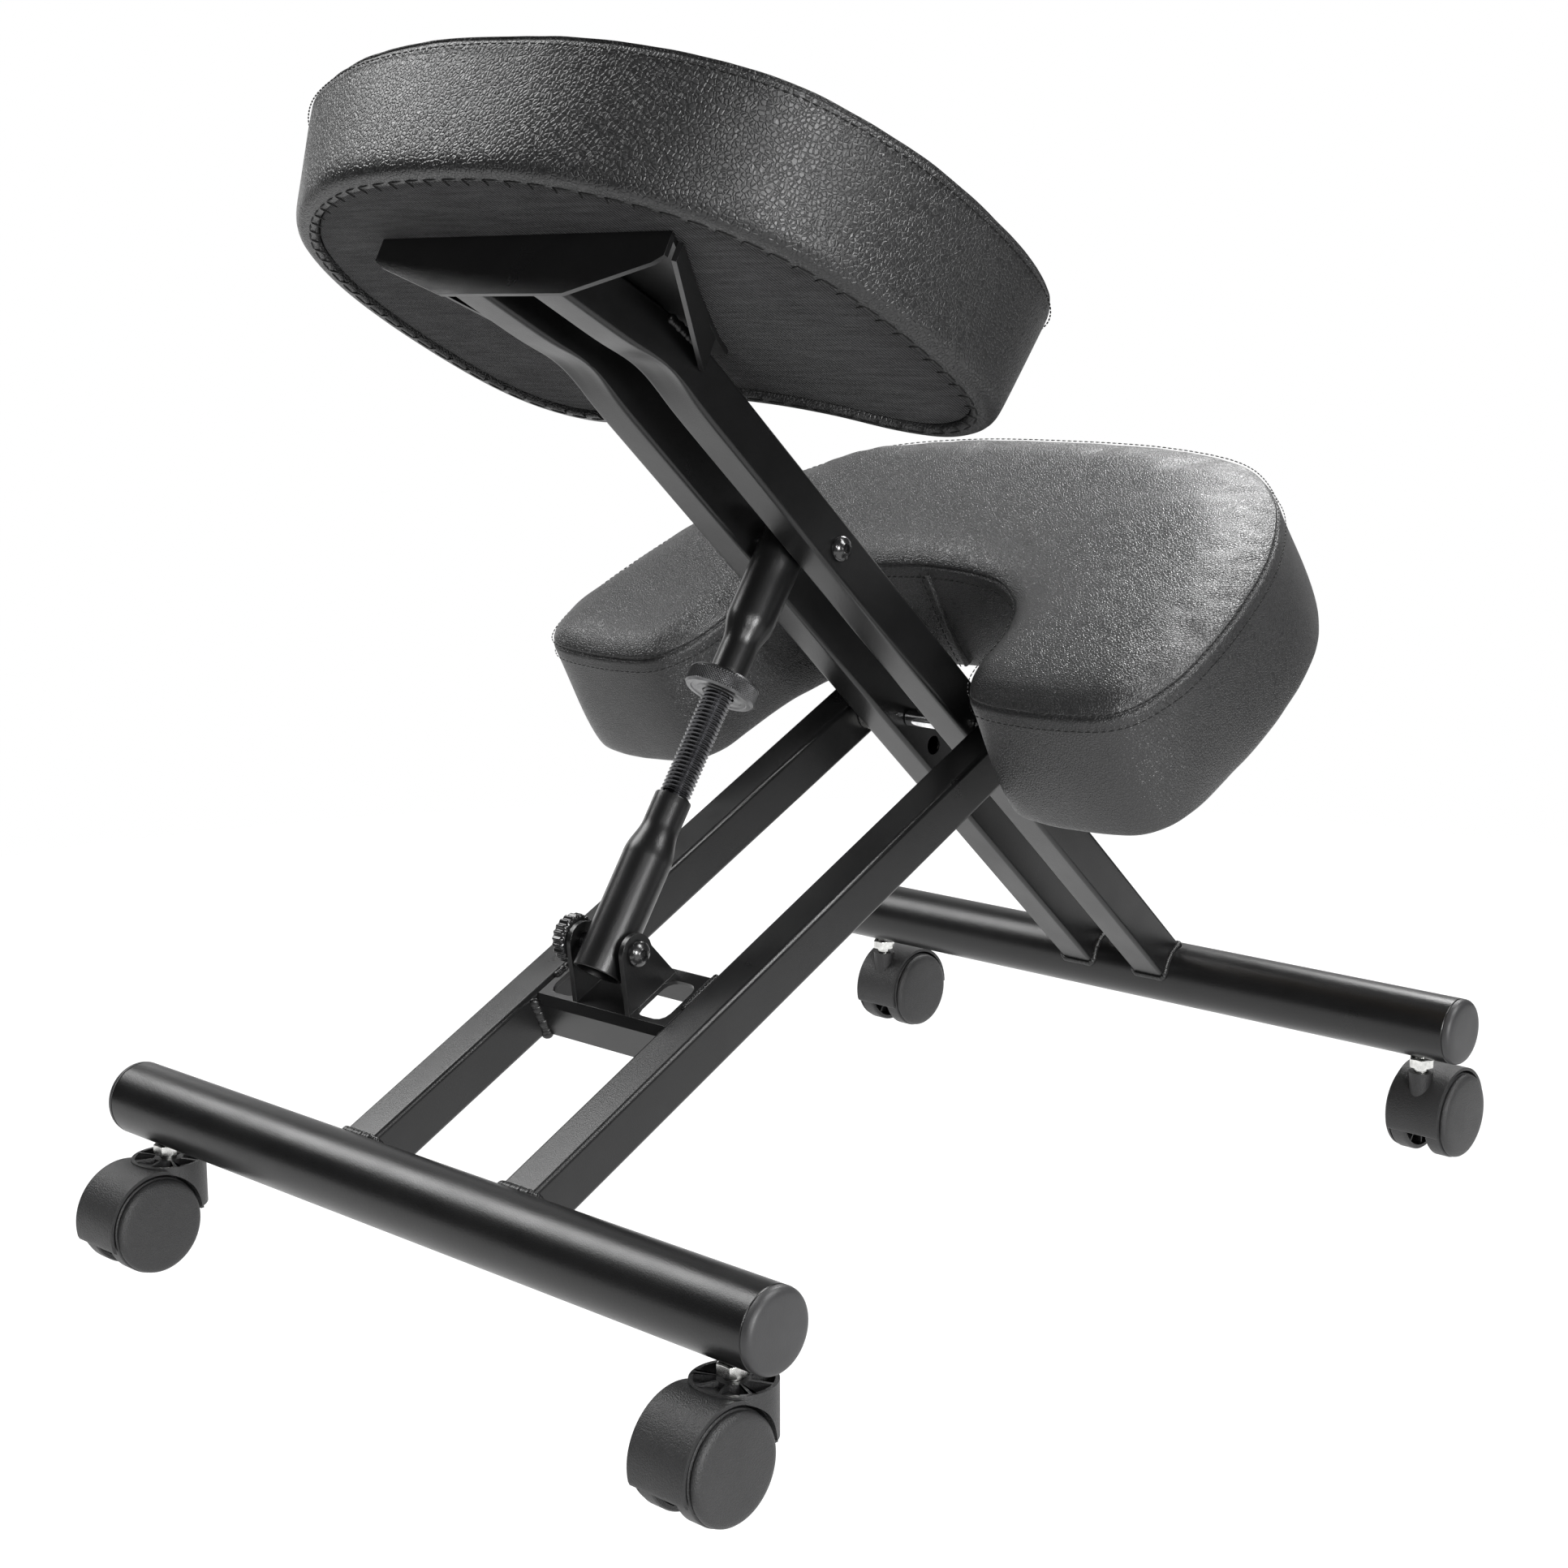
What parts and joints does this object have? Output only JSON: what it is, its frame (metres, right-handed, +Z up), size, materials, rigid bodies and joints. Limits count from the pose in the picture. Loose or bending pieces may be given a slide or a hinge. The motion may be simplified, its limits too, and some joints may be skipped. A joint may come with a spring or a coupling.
{
  "type": "kneeling massage chair",
  "caption": "Armless kneeling massage chair: bean-shaped seat and horseshoe knee pad on crossed steel frames, set by a screw jack and rolling on twin-wheel casters.",
  "frame": {"origin": "on the floor at the middle of the chair, midway between the two base tubes", "axes": "+X to the sitter's right along the base tubes, +Y forward towards the knee pad, +Z up"},
  "size_m": [0.46, 0.6664, 0.603],
  "materials": {
    "frame_paint": "satin black powder coat over steel tube and sheet",
    "zinc_hardware": "bright zinc-plated steel",
    "black_hardware": "black oxide steel, glossy on the round heads",
    "chrome_sleeve": "polished chrome",
    "knurled_nut_steel": "gunmetal steel with a diamond-knurled rim",
    "threaded_rod_steel": "dark oiled steel thread",
    "caster_plastic": "finely textured black nylon",
    "end_cap_plastic": "smooth charcoal plastic",
    "knob_plastic": "semi-gloss black plastic",
    "black_leather": "black pebble-grain synthetic leather over foam",
    "underside_cloth": "black ribbed cloth stretched over a plywood board",
    "knee_board_wood": "raw plywood"
  },
  "bodies": {
    "knee_frame": {"jack_bracket": "frame_paint", "jack_low_bolt": "black_hardware", "knee_board": "knee_board_wood", "knee_cushion": "black_leather", "knee_screw_1": "zinc_hardware", "knee_screw_2": "zinc_hardware", "knee_screw_3": "zinc_hardware", "knee_screw_4": "zinc_hardware", "knee_tube_left": "frame_paint", "knee_tube_right": "frame_paint", "pivot_bolt": "zinc_hardware", "pivot_nut": "black_hardware", "pivot_sleeve": "chrome_sleeve", "pivot_washer_left": "zinc_hardware", "pivot_washer_right": "zinc_hardware", "rear_base_tube": "frame_paint", "rear_cap_left": "end_cap_plastic", "rear_cap_right": "end_cap_plastic", "rear_left_stem": "zinc_hardware", "rear_right_stem": "zinc_hardware"},
    "seat_frame": {"front_base_tube": "frame_paint", "front_cap_left": "end_cap_plastic", "front_cap_right": "end_cap_plastic", "front_left_stem": "zinc_hardware", "front_right_stem": "zinc_hardware", "jack_top_bolt": "black_hardware", "jack_top_nut": "black_hardware", "seat_board": "underside_cloth", "seat_bracket": "frame_paint", "seat_cushion": "black_leather", "seat_screw_1": "zinc_hardware", "seat_screw_2": "zinc_hardware", "seat_screw_3": "zinc_hardware", "seat_screw_4": "zinc_hardware", "seat_tube_left": "frame_paint", "seat_tube_right": "frame_paint"},
    "jack_lower": {"jack_lower_tube": "frame_paint", "jack_rod": "threaded_rod_steel"},
    "jack_upper": {"jack_upper_tube": "frame_paint"},
    "jack_nut_body": {"jack_nut": "knurled_nut_steel"},
    "clamp_knob": {"hand_knob": "knob_plastic"},
    "rear_right_caster": {"rear_right_hood": "caster_plastic", "rear_right_axle": "zinc_hardware"},
    "rear_right_right_roller": {"rear_right_wheel_right": "caster_plastic"},
    "rear_right_left_roller": {"rear_right_wheel_left": "caster_plastic"},
    "rear_left_caster": {"rear_left_hood": "caster_plastic", "rear_left_axle": "zinc_hardware"},
    "rear_left_right_roller": {"rear_left_wheel_right": "caster_plastic"},
    "rear_left_left_roller": {"rear_left_wheel_left": "caster_plastic"},
    "front_right_caster": {"front_right_hood": "caster_plastic", "front_right_axle": "zinc_hardware"},
    "front_right_right_roller": {"front_right_wheel_right": "caster_plastic"},
    "front_right_left_roller": {"front_right_wheel_left": "caster_plastic"},
    "front_left_caster": {"front_left_hood": "caster_plastic", "front_left_axle": "zinc_hardware"},
    "front_left_right_roller": {"front_left_wheel_right": "caster_plastic"},
    "front_left_left_roller": {"front_left_wheel_left": "caster_plastic"}
  },
  "joints": [
    {"name": "frame_pivot", "type": "hinge", "parent": "knee_frame", "child": "seat_frame", "pos_m": [0, 0.0865, 0.2599], "axis": [1, 0, 0], "range_deg": [-5, 12]},
    {"name": "jack_tilt", "type": "hinge", "parent": "knee_frame", "child": "jack_lower", "pos_m": [0, -0.1624, 0.1773], "axis": [1, 0, 0], "range_deg": [-1, 1]},
    {"name": "jack_slide", "type": "slide", "parent": "jack_lower", "child": "jack_upper", "axis": [0, 0.5603, 0.8283], "range_m": [-0.0345, 0.015]},
    {"name": "nut_turn", "type": "hinge", "parent": "jack_upper", "child": "jack_nut_body", "pos_m": [0, -0.1624, 0.1773], "axis": [0, 0.5603, 0.8283], "range_deg": [-5450, 2320]},
    {"name": "knob_turn", "type": "hinge", "parent": "knee_frame", "child": "clamp_knob", "pos_m": [0, -0.1624, 0.1773], "axis": [-1, 0, 0], "range_deg": [0, 720]},
    {"name": "rear_right_swivel", "type": "hinge", "parent": "knee_frame", "child": "rear_right_caster", "pos_m": [0.2032, -0.2867, 0.05], "axis": [0, 0, 1], "continuous": true},
    {"name": "rear_right_right_roll", "type": "hinge", "parent": "rear_right_caster", "child": "rear_right_right_roller", "pos_m": [0.2032, -0.3052, 0.025], "axis": [1, 0, 0], "continuous": true},
    {"name": "rear_right_left_roll", "type": "hinge", "parent": "rear_right_caster", "child": "rear_right_left_roller", "pos_m": [0.2032, -0.3052, 0.025], "axis": [1, 0, 0], "continuous": true},
    {"name": "rear_left_swivel", "type": "hinge", "parent": "knee_frame", "child": "rear_left_caster", "pos_m": [-0.2032, -0.2867, 0.05], "axis": [0, 0, 1], "continuous": true},
    {"name": "rear_left_right_roll", "type": "hinge", "parent": "rear_left_caster", "child": "rear_left_right_roller", "pos_m": [-0.2032, -0.3052, 0.025], "axis": [1, 0, 0], "continuous": true},
    {"name": "rear_left_left_roll", "type": "hinge", "parent": "rear_left_caster", "child": "rear_left_left_roller", "pos_m": [-0.2032, -0.3052, 0.025], "axis": [1, 0, 0], "continuous": true},
    {"name": "front_right_swivel", "type": "hinge", "parent": "seat_frame", "child": "front_right_caster", "pos_m": [0.2032, 0.2867, 0.05], "axis": [0, 0, 1], "continuous": true},
    {"name": "front_right_right_roll", "type": "hinge", "parent": "front_right_caster", "child": "front_right_right_roller", "pos_m": [0.2032, 0.3052, 0.025], "axis": [1, 0, 0], "continuous": true},
    {"name": "front_right_left_roll", "type": "hinge", "parent": "front_right_caster", "child": "front_right_left_roller", "pos_m": [0.2032, 0.3052, 0.025], "axis": [1, 0, 0], "continuous": true},
    {"name": "front_left_swivel", "type": "hinge", "parent": "seat_frame", "child": "front_left_caster", "pos_m": [-0.2032, 0.2867, 0.05], "axis": [0, 0, 1], "continuous": true},
    {"name": "front_left_right_roll", "type": "hinge", "parent": "front_left_caster", "child": "front_left_right_roller", "pos_m": [-0.2032, 0.3052, 0.025], "axis": [1, 0, 0], "continuous": true},
    {"name": "front_left_left_roll", "type": "hinge", "parent": "front_left_caster", "child": "front_left_left_roller", "pos_m": [-0.2032, 0.3052, 0.025], "axis": [1, 0, 0], "continuous": true}
  ],
  "couplings": [
    {"joint": "jack_tilt", "follows": "frame_pivot", "ratio": 0.05},
    {"joint": "jack_slide", "follows": "frame_pivot", "m_per_rad": -0.1604},
    {"joint": "nut_turn", "follows": "frame_pivot", "ratio": -447.92}
  ]
}
